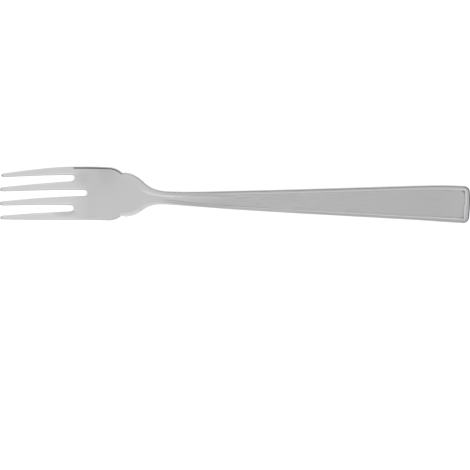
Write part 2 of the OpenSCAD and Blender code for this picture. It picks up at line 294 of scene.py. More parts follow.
def line_y(x, tine, k):
    """Distance from the middle of line k on the outer (0) or the inner (1) tine."""
    width, rate = outline(x)
    if tine == 0 and k < EDGE_LINES:
        return width - ROUND[k] * wider(x) * np.sqrt(1 + rate**2)
    if tine == 0 and k > LAST - EDGE_LINES:
        return fanned(x, k - (LAST - EDGE_LINES) - 1, ROUND[LAST - k], 1)
    if tine == 1 and k < EDGE_LINES:
        return fanned(x, k + EDGE_LINES - 1, ROUND[k], -1)
    if tine == 1 and k > LAST - EDGE_LINES:
        spread = ease((x - root_x - edge_r) / 6) * (LAST - k) / FLOOR_LINES
        wall = slot_half(x, root_x, slot_bow, ROUND[LAST - k])
        return wall + spread * line_y(x, 1, EDGE_LINES - 1)
    first, last = line_y(x, tine, EDGE_LINES - 1), line_y(x, tine, LAST - EDGE_LINES + 1)
    return mix(first, last, (k - EDGE_LINES + 1) / (INNER_LINES + 1))


def tine_y(x, tine, k):
    """The same line, drawn in to the middle of its tine where the tip is round."""
    y = line_y(x, tine, k)
    middle = (line_y(x, tine, 0) + line_y(x, tine, LAST)) / 2
    d = ROUND[min(k, LAST - k, EDGE_LINES - 1)]
    share = np.where(x - tip_x < tip_round, tip_share(x, d), 1)
    return mix(middle, y, share)


# %% [markdown]
# Rows run across the fork. They lie close together where the outline turns quickly, such
# as round the slots' roots, the tips and the corners, and further apart on the handle.

# %% Rows across the fork
def row_gap(x):
    if x < outer_root_x - 2:
        return 0.6
    if x < notch_x - 6:
        return 0.45
    if x < neck_x + panel_run_l:
        return 0.35
    return 0.7 if x < end_x - step_end_l else 0.5


root_turn = np.radians(np.linspace(0, 90, 11))
fixed = [tip_x, end_x, widest_x, notch_x, neck_x]
fixed += list(tip_x + ROUND[1:]) + list(end_x - ROUND[1:])
fixed += list(tip_x + tip_round * (1 - np.cos(np.radians([50, 60, 70, 80, 90]))))
for x in (outer_root_x, root_x):
    fixed += list(x - (1 - np.sin(root_turn)) * slot_root_w / 2) + list(x + ROUND[1:])
fixed += list(end_x - step_end_in - rim_inset)
fixed += list(corner_x - np.linspace(0, 0.4, 3))
fixed = sorted(fixed)
rows = []
for a, b in zip(fixed, fixed[1:]):
    if b - a > 1e-6:
        steps = int(np.ceil((b - a) / row_gap((a + b) / 2)))
        rows += list(np.linspace(a, b, steps, endpoint=False))
rows = np.array(rows + [end_x])
print(len(rows), "rows,", 4 * LINES, "lines on each face")

# %% [markdown]
# ## Relief: thickness, bevels, groove and panel
#
# The top face isn't just the bottom face lifted. The sheet is thin at the tips and thick
# at the neck and the foot. The shoulders slope down to their edges, a slope that runs on
# as the border of the handle. The bowl runs out into the neck as a shallow groove, which
# widens into the sunk panel. All of this is a height above the underside, and it depends
# only on the place along the fork and the distance from its edges. Creases are softened
# a little, as polishing does.

# %% Height of the top face over the underside
crest_x, foot_x = tip_x + 79, end_x - 14
thickness = [
    [tip_x, 1.15, 0.005],
    [root_x, 1.35, 0.005],
    [notch_x, 1.45, 0.01],
    [neck_x, 1.85, 0],
    [crest_x + 18.5, 1.5, 0],
    [foot_x, 1.95, 0],
    [end_x, 1.5, -0.03],
]
bevel_h, border_h = 0.35, 0.15
groove_h, panel_h = 0.3, 0.18
groove_start_at, groove_run = 3.5, 8
head_bevel, head_bevel_run = 0.35, 7
head_crease_r, crease_r = 1.1, 0.22


def soft_ramp(v, r):
    """v where it is positive and 0 where it is negative, with a rounded corner."""
    return np.where(v > r, v, np.where(v < -r, 0, (v + r) ** 2 / (4 * r)))


def edge_slope_drop(x, inset):
    """How far the slope along the edge lowers the top face, inset from the edge."""
    on_head = head_bevel * ease((x - notch_x + head_bevel_run) / head_bevel_run)
    start = mix(on_head, 1, ease((x - notch_x) / shoulder_top_at))
    height = start * mix(bevel_h, border_h, panel_share(x))
    width = mix(shoulder_bevel_w, bevel_w, shoulder_share(x))
    soft = mix(head_crease_r, crease_r, shoulder_share(x)) / width
    return height * soft_ramp(1 - inset / width, soft)


def sunk(x, y):
    """How far the groove and the panel lie under the border."""
    begun = ease((x - notch_x - groove_start_at) / groove_run)
    depth = begun * mix(groove_h, panel_h, panel_share(x))
    rim, foot = step_top(x), step_foot(x)
    in_side = ease((rim - y) / (rim - foot))
    in_end = ease((end_x - x - step_top_w - step_end_in) / (step_foot_w - step_top_w))
    return depth * in_side * in_end


# %% [markdown]
# The handle ends square, with small round corners. Grid points near a corner are moved
# onto arcs round the corner's middle, so the edge follows the arc and the rows inside it
# turn the corner too.

# %% Round corners of the handle's end
def cornered(x, y):
    """Moves the square grid of the handle's end onto its round corners."""
    half = outline(x)[0]
    from_end, from_side = end_x - x, half - y
    r = corner_r - np.minimum(from_end, from_side)
    s = np.abs(from_end - from_side)
    part = s / np.maximum(r, 1e-9)
    turn = np.radians(45 * np.where(from_end > from_side, 1 + part, 1 - part))
    inside = (r > 0) & (s < r)
    corner_half = outline(np.array(corner_x))[0]
    return (
        np.where(inside, corner_x + r * np.cos(turn), x),
        np.where(inside, corner_half - corner_r + r * np.sin(turn), y),
    )


# %% [markdown]
# ## Painted light and shade: fine reflection lines and shaded places
#
# Polished steel mirrors the room, so thin lines run along its edges, most of them about
# half a millimetre wide: a dark one on the far side of the head, a bright one on its near
# side, a bright ridge on the border and a dark rim round the handle's end. The soft room
# built here draws them only in part, so the rest is painted, as painted reflections and
# painted highlights. Each point of the blank carries a line's strength and its own distance
# from that line, and the material draws the line from the two, sharper than the mesh could.
# A third number is the distance from the painted highlight on the border's ridge. A fourth
# is painted shade, or painted light where it is under 0. Painted shade darkens the panel's
# corners and the walls that face the near side, and painted light brightens the slots'
# other walls near their roots. The far side, +Y, and the near side, -Y, differ, because the
# light on them does.

# %% Places and strengths of the painted reflection lines
# Place along the fork, strength, distance from the edge and half width, in mm.
# A strength under 0 makes a painted dark line, and one over 0 a painted bright line.
end_line = [(end_x - 1.2, -0.45, 0.15, 0.4), (end_x - 0.5, -0.8, 0, 0.34), (end_x, -1, 0, 0.34)]
far_line = [
    (outer_root_x - 0.9, 0, 0.4, 0.4),
    (outer_root_x - 0.2, -0.75, 0.53, 0.36),
    (-56, -0.8, 0.55, 0.34),
    (-51, -0.92, 0.58, 0.26),
    (notch_x - 2, -0.85, 0.56, 0.23),
    (notch_x - 0.3, -0.6, 0.5, 0.25),
    (notch_x + 0.3, 0, 0.45, 0.3),
    (notch_x + 5, 0.4, 0.4, 0.4),
    (neck_x + 4, 0.4, 0.4, 0.4),
    (0, 0, 0.6, 0.4),
    (40, -0.1, 0.6, 0.4),
    (60, -0.1, 0.5, 0.36),
    (end_x - 2.5, -0.1, 0.25, 0.3),
]
near_line = [
    (outer_root_x - 14, 0, 0.4, 0.3),
    (outer_root_x - 6, 0.7, 0.4, 0.32),
    (-52, 1, 0.42, 0.38),
    (notch_x - 3, 1, 0.32, 0.45),
    (notch_x - 0.5, 1, 0.32, 0.5),
    (notch_x + 1, 0.8, 0.8, 0.95),
    (notch_x + 6, 0.7, 0.8, 0.9),
    (notch_x + 12, 0, 0.8, 0.8),
    (20, 0, 0.68, 0.4),
    (32, -0.13, 0.68, 0.4),
    (end_x - 2.5, -0.14, 0.68, 0.4),
]
FAR, NEAR = 1, -1
edge_line = {FAR: far_line + end_line, NEAR: near_line + end_line}
# Painted bright lines beside the slots' walls that face the near side.
slot_line = [(-86, 0.1), (-72, 0.3), (-66, 0.6), (outer_root_x - 0.3, 0.6), (outer_root_x + 0.2, 0)]
slot_line_in, slot_line_half, slot_line_stop = 0.6, 0.3, 0.05
# Where the painted highlight on the border's ridge lies, measured from the rim.
ridge_in = [(end_x - 15, 1.15), (end_x - 4, 0.98), (end_x - 2.2, 0.98), (end_x - 1.4, 0.82)]
near_ridge_shift, near_ridge_run = 0.33, 15

# %% Painted shade and painted light
# Place along the fork and strength of painted shade, which is painted light under 0. A band
# is where it starts and ends, and how softly.
# Painted shade on the neck's border, fading in and out along the fork.
neck_painted_shade = [(-29, 0), (-24, 0.11), (-13, 0.11), (-2, 0)]
neck_band = (0.35, 1.3, 0.15)
neck_share = {FAR: 0.75, NEAR: 1}
# Painted shade and painted light along the border's step, darker towards the handle's end.
step_painted_shading = {
    FAR: [
        (-18, 0),
        (-8, -0.03),
        (30, -0.025),
        (48, 0),
        (70, 0.03),
        (end_x - 10, 0.05),
        (end_x - 8, 0.13),
        (end_x - 6, 0.04),
    ],
    NEAR: [
        (-18, 0),
        (-8, -0.06),
        (15, -0.04),
        (32, 0.05),
        (50, 0.1),
        (70, 0.13),
        (end_x - 10, 0.14),
        (end_x - 8, 0.26),
        (end_x - 6, 0.12),
    ],
}
step_band = (1.4, 1.72, 0.1)
# A painted highlight along the border's ridge on the near side.
near_ridge_painted_light = [(5, 0), (25, -0.13), (60, -0.16), (end_x - 6, -0.14), (end_x - 3, 0)]
near_ridge_band = (1.2, 1.62, 0.12)
# Painted shade on the panel, strongest towards the handle's end.
panel_painted_shade = [(30, 0), (45, 0.012), (62, 0.02), (70, 0.035), (78, 0.03), (end_x - 4, 0)]
panel_soft = 0.4
# Painted shade in the corners of the panel's step.
corner_painted_shade, corner_band = {FAR: 0.5, NEAR: 0.34}, (1.35, 1.75, 0.15)
corner_end_w, corner_run_end, corner_run_side = 1.9, 2.4, 1.4
# Painted shade beside the walls that face the near side, painted light beside the slots' other
# walls near their roots.
wall_band, shaded_wall, shaded_wall_stop = 0.42, 0.55, 0.4
lit_wall, lit_wall_l, lit_wall_run = -0.3, 20, 12
# Oval spots of painted shade on the head, one on each side.
painted_shade_spot = {FAR: (0.07, (-58.8, 6.2), (3.4, 3.8)), NEAR: (0.14, (-65.3, 7.6), (6, 1.7))}
# A painted highlight along the groove of the neck, on the far side.
neck_painted_highlight, neck_painted_highlight_y, neck_painted_highlight_x = -0.07, (0.4, 0.8, 0.4), (-24, -8, 6)
# Painted shade on the tines, more on the far outer tine.
tine_painted_shade, far_tine_painted_shade, tine_painted_shade_run = 0.015, 0.035, 4


# %% Painted light and shade of a line of points
def along_fork(x, table):
    """The values of a table of places and values, at the places x."""
    at, value = np.array(table).T
    return np.interp(x, at, value)


def in_band(v, low, high, soft):
    """1 between low and high, falling smoothly to 0 at soft beyond them."""
    return ease((v - low) / soft + 1) * ease((high - v) / soft + 1)


def in_spot(x, y, middle, size):
    """1 in the middle of an oval spot, falling smoothly to 0 at its rim."""
    return ease(1.5 - 1.5 * np.hypot((x - middle[0]) / size[0], (y - middle[1]) / size[1]))


def on_outer_edge(tine, k):
    return tine == 0 and k <= LAST // 2


def faces_near(k, side):
    """Whether this half of a tine slopes down towards the near side."""
    return (side == NEAR) == (k <= LAST // 2)


def beside_middle_slot(tine, k):
    return tine == 1 and k > LAST // 2


def root_of(tine, k):
    """Where the slot beside line k ends."""
    return root_x if beside_middle_slot(tine, k) else outer_root_x


def wall_of(x, tine, k):
    """Where the wall of the slot beside line k is."""
    if beside_middle_slot(tine, k):
        return slot_half(x, root_x, slot_bow, 0)
    side = 1 if tine == 0 else -1
    return slot_mid(x) + side * slot_half(x, outer_root_x, 0, 0)


def fine_line(x, y, inset, tine, k, side):
    """Strength of the painted reflection line, and the distance from its middle in half widths."""
    at, *values = np.array(edge_line[side]).T
    strength, middle, half = (np.interp(x, at, value) for value in values)
    off = (inset - middle) / half
    if on_outer_edge(tine, k):
        return strength, off
    root = root_of(tine, k)
    on_tine = x < root - slot_line_stop
    slot_strength = along_fork(x + outer_root_x - root, slot_line) * faces_near(k, side)
    slot_off = (np.abs(y - wall_of(x, tine, k)) - slot_line_in) / slot_line_half
    return np.where(on_tine, slot_strength, strength), np.where(on_tine, slot_off, off)


def wall_painted_shading(x, gap, tine, k, side):
    """Painted shade and painted light along the walls of the slots and of the head's own edge."""
    outer = on_outer_edge(tine, k)
    root = notch_x if outer else root_of(tine, k)
    lit = 0 if outer else lit_wall * ease((x - root + lit_wall_l) / lit_wall_run)
    shaded = shaded_wall if faces_near(k, side) else lit
    at_wall = np.clip(1 - gap / wall_band, 0, 1)
    return at_wall * np.where(x < root - shaded_wall_stop, shaded, lit)


def ridge_shift(x, side):
    """How much further in the painted ridge highlight and step shade lie on the near side."""
    return near_ridge_shift * ease(x / near_ridge_run) * (side == NEAR)


def border_painted_shading(x, y, from_rim, side):
    """Painted shade and painted light on the border, its step, the panel and the panel's corners.
    """
    dull = along_fork(x, panel_painted_shade) * ease((from_rim - step_foot_w) / panel_soft)
    on_step = in_band(from_rim - ridge_shift(x, side), *step_band)
    dull = dull + along_fork(x, step_painted_shading[side]) * on_step
    if side == NEAR:
        dull = dull + along_fork(x, near_ridge_painted_light) * in_band(from_rim, *near_ridge_band)
    from_corner = (outline(x)[0] - y) / across(x) - (end_x - x)
    corner_run = np.where(x > end_x - corner_end_w, corner_run_end, corner_run_side)
    at_corner = ease(1 - np.abs(from_corner / corner_run))
    return dull + corner_painted_shade[side] * in_band(from_rim, *corner_band) * at_corner


def painted_light_of(x, y, inset, gap, tine, k, side):
    """The four numbers of the painted light: line strength, off line, off ridge and painted
    shading.
    """
    strength, off = fine_line(x, y, inset, tine, k, side)
    from_rim = inset - step_in(x)
    off_ridge = from_rim - along_fork(x, ridge_in) - ridge_shift(x, side)
    dull = wall_painted_shading(x, gap, tine, k, side) + border_painted_shading(x, y, from_rim, side)
    at_neck = along_fork(x, neck_painted_shade) * in_band(inset, *neck_band)
    dull = dull + at_neck * neck_share[side]
    spot, middle, size = painted_shade_spot[side]
    dull = dull + spot * in_spot(x, y, middle, size)
    if side == FAR:
        dull = dull + neck_painted_highlight * in_band(y, *neck_painted_highlight_y) * in_band(x, *neck_painted_highlight_x)
    on_tines = ease((outer_root_x - x) / tine_painted_shade_run)
    dull = dull + on_tines * (far_tine_painted_shade if side == FAR and tine == 0 else tine_painted_shade)
    return strength, off, off_ridge, dull


# %% [markdown]
# ## All points of the blank, still flat
#
# Each line of the grid gets its places, its two heights and its painted light and shade.
# Only the +Y half is worked out. The -Y half is its mirror image, with painted light and
# shade of its own. The outer tips lie a little further back than the inner ones, and the
# handle's end is slightly bowed.

# %% Blank: places of all its points, still flat
def side_of_blank(tine, k):
    """Places and heights of one line of points on the +Y side, and its painted light and shade on
    both.
    """
    y = tine_y(rows, tine, k)
    back = outer_tip_back * np.clip((outer_root_x - rows) / (outer_root_x - tip_x), 0, 1)
    x = rows + (back if tine == 0 else 0)
    from_edge = min(k, LAST - k, EDGE_LINES - 1)
    spread = wider(x) if tine == 0 and k < EDGE_LINES else np.ones(len(rows))
    beside = np.full(len(rows), ROUND[from_edge])
    if beside_middle_slot(tine, k):
        beside = np.maximum(beside, x - root_x)
    elif tine == 1 or k > LAST // 2:
        beside = np.maximum(beside, x - outer_root_x)
    gap = np.minimum(np.minimum(rows - tip_x, end_x - x), beside)
    inset = np.minimum(end_x - x, (outline(x)[0] - y) / across(x))
    low = rounding(gap) * spread
    high = along(thickness, x)[0] - low - edge_slope_drop(x, inset) - sunk(x, y)
    painted_light = {side: painted_light_of(x, y, inset, beside, tine, k, side) for side in (FAR, NEAR)}
    px, py = cornered(x, y)
    corner_half = outline(np.array(corner_x))[0]
    near_end = np.clip(1 - (end_x - px) / taper_end_at, 0, 1)
    px = px - end_bow * (py / corner_half) ** 2 * near_end
    return px, py, high, low, painted_light


columns = [(t, k, FAR) for t in (0, 1) for k in range(LINES)]
columns += [(t, k, NEAR) for t in (1, 0) for k in range(LAST, -1, -1)]
made = {(t, k): side_of_blank(t, k) for t in (0, 1) for k in range(LINES)}
plan_x = np.stack([made[t, k][0] for t, k, s in columns], 1)
plan_y = np.stack([made[t, k][1] * s for t, k, s in columns], 1)
top_h = np.stack([made[t, k][2] for t, k, s in columns], 1)
low_h = np.stack([made[t, k][3] for t, k, s in columns], 1)
painted_light = np.stack([np.stack(made[t, k][4][s], -1) for t, k, s in columns], 1)
print(f"blank: sheet {top_h.min():.2f} to {top_h.max():.2f} mm high at its edges and middle")

# %% [markdown]
# ## The side profile, and the length of the flat blank
#
# From the side the fork is one flowing line: tines that sweep up to the tips, a heel on
# which the bowl rests, a rise to the crest at the neck, a long fall and a foot that lifts
# the handle's end again. Bending doesn't stretch the sheet, so the blank has to be as long
# as this line. The line is a Bezier curve, whose handles give exactly the cubics of the
# chain, and numpy measures how far along it each point of the outline lies.

# %% Profile curve
heel_x = tip_x + 38.4
underside = [
    [tip_x, 18.64, -slope(tip_angle)],
    [heel_x - 9.6, 1.76, -slope(16.7)],
    [heel_x, 0, 0],
    [heel_x + 18.4, 5.05, slope(22.7)],
    [crest_x, 8.9, 0],
    [end_x - 30, 1.5, -slope(7.3)],
    [foot_x - 1.5, 0, 0],
    [foot_x + 1.5, 0, 0],
    [end_x, 1.9, slope(end_angle)],
]
walk_x = np.linspace(tip_x, end_x, 20001)
walk_rate = along(underside, (walk_x[1:] + walk_x[:-1]) / 2)[1]
walk_length = np.concatenate([[0], np.cumsum(np.sqrt(1 + walk_rate**2) * np.diff(walk_x))])
flat_length = walk_length[-1]
flat_x = np.interp(plan_x, walk_x, walk_length)

profile_data = bpy.data.curves.new("profile", "CURVE")
profile_data.dimensions = "3D"
profile_data.resolution_u = 64
spline = profile_data.splines.new("BEZIER")
spline.bezier_points.add(len(underside) - 1)
for i, (point, (x, z, rate)) in enumerate(zip(spline.bezier_points, underside)):
    before = (x - underside[i - 1][0]) / 3 if i else 1
    after = (underside[i + 1][0] - x) / 3 if i < len(underside) - 1 else 1
    point.handle_left_type = point.handle_right_type = "FREE"
    point.co = (x * MM, 0, z * MM)
    point.handle_left = ((x - before) * MM, 0, (z - before * rate) * MM)
    point.handle_right = ((x + after) * MM, 0, (z + after * rate) * MM)
profile = bpy.data.objects.new("profile", profile_data)
bpy.context.scene.collection.objects.link(profile)
print(f"the blank is {flat_length:.2f} mm long for a fork of {overall_length} mm")

# %% [markdown]
# ## The blank as a mesh
#
# Top and bottom faces are the same grid at two heights. Walls close them along the outer
# edge, round the slots and at the handle's end. Where lines run together, at the tips and
# behind the slots' roots, their points are merged, and faces that have lost their area go.
# The painted light and shade go on the top face as four attributes. The underside is plain
# and far from any line, and only down the wall at the handle's end does the painted dark rim go on.

# %% Build the blank
points = np.empty(plan_x.shape + (2, 3))
points[..., 0] = flat_x[..., None]
points[..., 1] = plan_y[..., None]
points[..., 0, 2], points[..., 1, 2] = top_h, low_h
points *= MM
ROWS, COLUMNS = plan_x.shape
index = np.arange(ROWS * COLUMNS * 2).reshape(ROWS, COLUMNS, 2)


def patches(a, b, c, d):
    return np.stack([a, b, c, d], -1).reshape(-1, 4)


strips = [j for j in range(COLUMNS - 1) if j % LINES != LAST]
faces = []
for j in strips:
    t, b = index[:, j, 0], index[:, j, 1]
    t2, b2 = index[:, j + 1, 0], index[:, j + 1, 1]
    faces.append(patches(t[:-1], t2[:-1], t2[1:], t[1:]))
    faces.append(patches(b[:-1], b[1:], b2[1:], b2[:-1]))
    faces.append(patches(t[-1:], t2[-1:], b2[-1:], b[-1:]))
for j, (tine, k, side) in enumerate(columns):
    if k not in (0, LAST):
        continue
    wall_end = end_x if on_outer_edge(tine, k) else root_of(tine, k)
    stop = min(np.searchsorted(rows, wall_end - 1e-6), ROWS - 1)
    t, b = index[: stop + 1, j, 0], index[: stop + 1, j, 1]
    wall = patches(t[:-1], t[1:], b[1:], b[:-1])
    first_of_tine = j % LINES == 0
    faces.append(wall if first_of_tine else wall[:, ::-1])
faces = np.concatenate(faces)

blank_mesh = bpy.data.meshes.new("blank")
blank_mesh.from_pydata(points.reshape(-1, 3).tolist(), [], faces.tolist())
NO_LINE = 9
for i, name in enumerate(("line_strength", "off_line", "off_ridge", "dull")):
    plain = np.full((ROWS, COLUMNS), NO_LINE if name in ("off_line", "off_ridge") else 0)
    both = np.stack([painted_light[..., i], plain], -1)
    both[-1, :, 1] = both[-1, :, 0]
    layer = blank_mesh.attributes.new(name, "FLOAT", "POINT")
    layer.data.foreach_set("value", both.astype(np.float32).reshape(-1))

work = bmesh.new()
work.from_mesh(blank_mesh)
bmesh.ops.remove_doubles(work, verts=work.verts, dist=1e-6)
bmesh.ops.dissolve_degenerate(work, edges=work.edges, dist=1e-7)
bmesh.ops.recalc_face_normals(work, faces=work.faces)
open_edges = sum(not e.is_manifold for e in work.edges)
print(len(work.verts), "points,", len(work.faces), "faces,", open_edges, "open edges")
print(f"volume {work.calc_volume() / MM**3:.0f} cubic mm")
work.to_mesh(blank_mesh)
work.free()
blank = bpy.data.objects.new("fork_in_steel", blank_mesh)
bpy.context.scene.collection.objects.link(blank)

# %% [markdown]
# ## Satin steel
#
# Stainless steel of this kind is ground and brushed along its length, then lightly
# polished. It has hardly any colour, and its shine is soft. The material is a metallic
# Principled shader. Fine grain comes from noise that is stretched along the fork, in the
# object's own coordinates, so it has its real size of about a tenth of a millimetre.
# Slower noises make the polish and the brightness slightly uneven. The attributes of the
# blank then paint light and shade on the steel: painted reflections along its fine lines,
# a painted highlight on the border's ridge and painted shade in other places. A painted
# dark line has no shine at a grazing angle either, which Specular Tint takes away.

# %% Helpers for the three node trees: steel, press and sky
def feed(tree, socket, value):
    """Sets a socket to a number, or links it to another node's output."""
    if isinstance(value, (int, float)):
        socket.default_value = value
    else:
        tree.links.new(value, socket)


def maths(tree, operation, *values):
    node = tree.nodes.new("ShaderNodeMath")
    node.operation = operation
    for socket, value in zip(node.inputs, values):
        feed(tree, socket, value)
    return node.outputs[0]


def remap(tree, value, start, end, low, high, curve="LINEAR"):
    """Maps start to end onto low to high, and holds the value at both ends."""
    node = tree.nodes.new("ShaderNodeMapRange")
    node.interpolation_type = curve
    sources = (value, start, end, low, high)
    for name, source in zip(("Value", "From Min", "From Max", "To Min", "To Max"), sources):
        feed(tree, node.inputs[name], source)
    return node.outputs["Result"]


# %% Material
steel = bpy.data.materials.new("satin_steel")
steel.use_nodes = True
tree = steel.node_tree
nodes, links = tree.nodes, tree.links
steel_math, steel_ramp = partial(maths, tree), partial(remap, tree)
shader = nodes["Principled BSDF"]
shader.inputs["Metallic"].default_value = 1.0
where = nodes.new("ShaderNodeTexCoord")


def stretched_noise(size, detail, rough):
    """Noise with features of the given size in mm along x, y and z."""
    scale = nodes.new("ShaderNodeMapping")
    scale.inputs["Scale"].default_value = [1 / (s * MM) for s in size]
    noise = nodes.new("ShaderNodeTexNoise")
    noise.inputs["Scale"].default_value = 1.0
    noise.inputs["Detail"].default_value = detail
    noise.inputs["Roughness"].default_value = rough
    links.new(where.outputs["Object"], scale.inputs["Vector"])
    links.new(scale.outputs["Vector"], noise.inputs["Vector"])
    return noise.outputs["Fac"]


def attribute(name):
    node = nodes.new("ShaderNodeAttribute")
    node.attribute_name = name
    return node.outputs["Fac"]


def band(distance, inner, outer):
    """1 within inner of a line and 0 beyond outer."""
    return steel_ramp(steel_math("ABSOLUTE", distance), inner, outer, 1.0, 0.0)


grain_w, streak_w = 0.08, 0.5
grain = stretched_noise((4.0, grain_w, grain_w), 3, 0.6)
streaks = stretched_noise((18.0, streak_w, streak_w), 2, 0.5)
polish = stretched_noise((9.0, 5.0, 5.0), 2, 0.5)

place = nodes.new("ShaderNodeSeparateXYZ")
links.new(where.outputs["Object"], place.inputs[0])
along_x = place.outputs["X"]
to_handle = steel_ramp(along_x, -24 * MM, -4 * MM, 0.0, 1.0)
rougher_handle = steel_math("MULTIPLY", to_handle, 0.06)
roughness = steel_math("ADD", steel_ramp(polish, 0.3, 0.7, 0.23, 0.27), rougher_handle)
links.new(roughness, shader.inputs["Roughness"])

near_neck = steel_math("MULTIPLY", to_handle, steel_ramp(along_x, 0, 60 * MM, 1.0, 0.35))
streaked = steel_math("MULTIPLY", steel_ramp(streaks, 0.25, 0.75, -0.05, 0.05), near_neck)
steel_grey = steel_math("ADD", 0.675, steel_math("MULTIPLY", to_handle, -0.095))
steel_grey = steel_math("ADD", steel_grey, streaked)
print("steel: grain", grain_w, "mm wide, streaks", streak_w, "mm wide")

# %% Painted reflection lines, ridge highlight and painted shade on the steel
# Painted reflections: a painted dark or bright line where the attributes put one.
line = steel_math("MULTIPLY", band(attribute("off_line"), 0.6, 1.0), attribute("line_strength"))
dark_line = steel_ramp(line, -1, 0, 0.12, 1.0)
bright_line = steel_ramp(line, 0, 1, 1.0, 1.2)
links.new(steel_ramp(line, -1, 0, 0.0, 1.0), shader.inputs["Specular Tint"])
# A painted highlight along the border's ridge, stronger towards the handle's end.
ridge = band(attribute("off_ridge"), 0.05, 0.3)
ridge = steel_math("MULTIPLY", ridge, steel_ramp(along_x, -12 * MM, 5 * MM, 0.0, 1.0))
ridge = steel_math("MULTIPLY", ridge, steel_ramp(along_x, 78 * MM, 87 * MM, 1.0, 1.8))
bright_ridge = steel_ramp(ridge, 0, 2, 1.0, 1.4)
# Painted shade from the blank's attribute, and painted light where it is under 0.
painted_shading_factor = steel_math("SUBTRACT", 1, attribute("dull"))
for share in (dark_line, bright_line, bright_ridge, painted_shading_factor):
    steel_grey = steel_math("MULTIPLY", steel_grey, share)
grey = nodes.new("ShaderNodeCombineColor")
for channel in ("Red", "Green", "Blue"):
    links.new(steel_grey, grey.inputs[channel])
links.new(grey.outputs["Color"], shader.inputs["Base Color"])
grain_bump = nodes.new("ShaderNodeBump")
grain_bump.inputs["Strength"].default_value = 0.1
grain_bump.inputs["Distance"].default_value = 0.004 * MM
links.new(grain, grain_bump.inputs["Height"])
links.new(grain_bump.outputs["Normal"], shader.inputs["Normal"])
print("steel:", len(nodes), "nodes")

# %% [markdown]
# ## The press, as a Geometry Nodes tree
#
# The tree is the bending die. Each point of the blank knows its distance along the
# sheet, its distance from the middle line and its height over the underside. The tree
# looks up the same distance along the profile curve, and puts the point there, square to
# the curve. It also lifts the sides of the bowl, which is what makes the bowl hollow.

# %% Press tree
press = bpy.data.node_groups.new("press", "GeometryNodeTree")
face = press.interface
face.new_socket("Geometry", in_out="INPUT", socket_type="NodeSocketGeometry")
face.new_socket("Geometry", in_out="OUTPUT", socket_type="NodeSocketGeometry")
sizes = {
    "Blank length": flat_length * MM,
    "Tips at": tip_x * MM,
    "Heel at": heel_x * MM,
    "Neck at": neck_x * MM,
    "Half head width": head_w / 2 * MM,
    "Dish at tips": 0.15 * MM,
    "Dish at heel": 0.75 * MM,
}
socket_ids = {}
for name in sizes:
    socket = face.new_socket(name, in_out="INPUT", socket_type="NodeSocketFloat")
    socket_ids[name] = socket.identifier
profile_socket = face.new_socket("Profile", in_out="INPUT", socket_type="NodeSocketObject")
steel_socket = face.new_socket("Material", in_out="INPUT", socket_type="NodeSocketMaterial")


def add(kind, **settings):
    node = press.nodes.new(kind)
    for key, value in settings.items():
        setattr(node, key, value)
    return node


press_math = partial(maths, press)
press_ramp = partial(remap, press, curve="SMOOTHSTEP")
entry = add("NodeGroupInput")
get = entry.outputs
flat = add("ShaderNodeSeparateXYZ")
press.links.new(add("GeometryNodeInputPosition").outputs[0], flat.inputs[0])
curve_info = add("GeometryNodeObjectInfo")
press.links.new(get["Profile"], curve_info.inputs["Object"])
sample = add("GeometryNodeSampleCurve", mode="FACTOR")
press.links.new(curve_info.outputs["Geometry"], sample.inputs["Curves"])
travelled = press_math("DIVIDE", flat.outputs["X"], get["Blank length"])
press.links.new(travelled, sample.inputs["Factor"])

square = add("ShaderNodeVectorMath", operation="CROSS_PRODUCT")
press.links.new(sample.outputs["Tangent"], square.inputs[0])
square.inputs[1].default_value = (0, 1, 0)
raised = add("ShaderNodeVectorMath", operation="SCALE")
press.links.new(square.outputs["Vector"], raised.inputs[0])
press.links.new(flat.outputs["Z"], raised.inputs["Scale"])

plan = add("ShaderNodeSeparateXYZ")
press.links.new(sample.outputs["Position"], plan.inputs[0])
dish = (get["Dish at tips"], get["Dish at heel"])
to_heel = press_ramp(plan.outputs["X"], get["Tips at"], get["Heel at"], *dish)
to_neck = press_ramp(plan.outputs["X"], get["Heel at"], get["Neck at"], 1.0, 0.0)
share = press_math("DIVIDE", flat.outputs["Y"], get["Half head width"])
depth = press_math("MULTIPLY", to_heel, to_neck)
rim = press_math("MULTIPLY", depth, press_math("MULTIPLY", share, share))
sideways = add("ShaderNodeCombineXYZ")
press.links.new(flat.outputs["Y"], sideways.inputs["Y"])
press.links.new(rim, sideways.inputs["Z"])

bent = add("ShaderNodeVectorMath", operation="ADD")
press.links.new(sample.outputs["Position"], bent.inputs[0])
press.links.new(raised.outputs["Vector"], bent.inputs[1])
placed = add("ShaderNodeVectorMath", operation="ADD")
press.links.new(bent.outputs["Vector"], placed.inputs[0])
press.links.new(sideways.outputs["Vector"], placed.inputs[1])

move = add("GeometryNodeSetPosition")
press.links.new(get["Geometry"], move.inputs["Geometry"])
press.links.new(placed.outputs["Vector"], move.inputs["Position"])
smooth = add("GeometryNodeSetShadeSmooth")
press.links.new(move.outputs["Geometry"], smooth.inputs["Geometry"])
realize = add("GeometryNodeRealizeInstances")
press.links.new(smooth.outputs["Geometry"], realize.inputs["Geometry"])
dress = add("GeometryNodeSetMaterial")
press.links.new(realize.outputs["Geometry"], dress.inputs["Geometry"])
press.links.new(get["Material"], dress.inputs["Material"])
leave = add("NodeGroupOutput")
press.links.new(dress.outputs["Geometry"], leave.inputs["Geometry"])
print("press tree:", len(press.nodes), "nodes")

# %% [markdown]
# The modifier's inputs are set by the sockets' identifiers before it is first evaluated.
# Then the bent sheet becomes a plain mesh, and the modifier and the curve have done
# their work and go.

